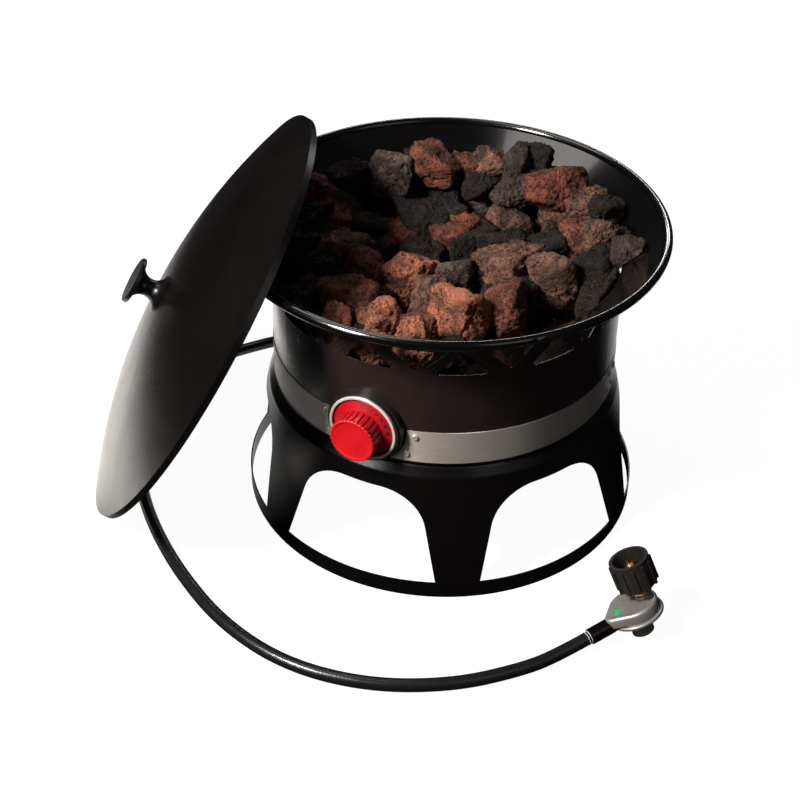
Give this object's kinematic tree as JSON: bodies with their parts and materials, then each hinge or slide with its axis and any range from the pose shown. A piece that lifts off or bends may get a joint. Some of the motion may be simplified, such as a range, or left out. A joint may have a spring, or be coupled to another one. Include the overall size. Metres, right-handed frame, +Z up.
{
  "type": "portable gas fire pit",
  "caption": "Portable gas fire bowl with vented steel body, arched stand, lava rocks, leaning domed lid, push-and-turn knob, hose, regulator and tank nut.",
  "frame": {"origin": "on the bowl's axis, in the plane that the stand rests on", "axes": "+Z up along the bowl's axis; the control knob faces -Y; the lid leans towards -X and a little -Y"},
  "size_m": [0.7025, 0.5879, 0.4082],
  "materials": {
    "black_enamel": "satin enamel",
    "body_enamel": "satin enamel",
    "gloss_enamel": "glossy enamel",
    "lid_enamel": "satin enamel",
    "band_steel": "brushed round the body",
    "screw_steel": "polished",
    "zinc_steel": "zinc plated",
    "burner_steel": "mill finish",
    "spring_steel": "drawn wire",
    "bezel_black": "semi-gloss",
    "bezel_chrome": "polished",
    "red_plastic": "semi-gloss",
    "brass": "turned",
    "valve_aluminium": "die-cast",
    "hose_rubber": "smooth glossy",
    "ferrule_black": "black crimped steel",
    "regulator_zinc": "die-cast",
    "nut_plastic": "moulded",
    "grip_plastic": "moulded",
    "lava_rock": "rough porous stone"
  },
  "bodies": {
    "fire_pit": {"stand": "black_enamel", "stand_bolts": "zinc_steel", "stand_nuts": "zinc_steel", "base_pan": "black_enamel", "body_shell": "body_enamel", "bowl_rim": "gloss_enamel", "trim_screws": "screw_steel", "knob_bezel": "bezel_black", "bezel_ring": "bezel_chrome", "valve_body": "valve_aluminium", "valve_bracket": "zinc_steel", "valve_nut": "brass", "injector": "brass", "mixer_tube": "burner_steel", "air_shutter": "zinc_steel", "ring_burner": "burner_steel", "burner_legs": "burner_steel", "burner_pan": "gloss_enamel", "pan_brackets": "black_enamel", "inlet_elbow": "brass", "hose_swivel_nut": "brass", "inlet_ferrule": "ferrule_black", "gas_hose": "hose_rubber", "outlet_ferrule": "ferrule_black", "regulator_body": "regulator_zinc", "regulator_cover": "regulator_zinc", "regulator_cap": "bezel_black", "inlet_nipple": "brass", "lava_rocks_low": "lava_rock", "lava_rocks_high": "lava_rock", "trim_band_front_right": "band_steel", "trim_band_rear_right": "band_steel", "trim_band_rear_left": "band_steel", "trim_band_front_left": "band_steel"},
    "knob_push": {"stem_washer": "brass", "return_spring": "spring_steel"},
    "knob": {"valve_stem": "brass", "knob_dial": "red_plastic", "knob_grip": "red_plastic", "knob_cap": "red_plastic"},
    "tank_nut": {"tank_nut": "nut_plastic"},
    "lid": {"lid_dome": "lid_enamel", "lid_grip": "grip_plastic", "lid_screw": "zinc_steel", "lid_washer": "zinc_steel"}
  },
  "joints": [
    {"name": "knob_press", "type": "slide", "parent": "fire_pit", "child": "knob_push", "axis": [0, 1, 0], "range_m": [0, 0.003], "stiffness_N_per_m": 1200, "springref_m": -0.004, "deforming": ["return_spring"]},
    {"name": "knob_turn", "type": "hinge", "parent": "knob_push", "child": "knob", "pos_m": [0, -0.19, 0.187], "axis": [0, -1, 0], "range_deg": [0, 150]},
    {"name": "tank_nut_spin", "type": "hinge", "parent": "fire_pit", "child": "tank_nut", "pos_m": [0.27627, -0.13673, 0.06607], "axis": [-0.4384, 0, 0.8988], "continuous": true},
    {"name": "lid_lift", "type": "slide", "parent": "fire_pit", "child": "lid", "axis": [-0.7685, -0.3715, 0.521], "range_m": [0, 0.25]}
  ]
}
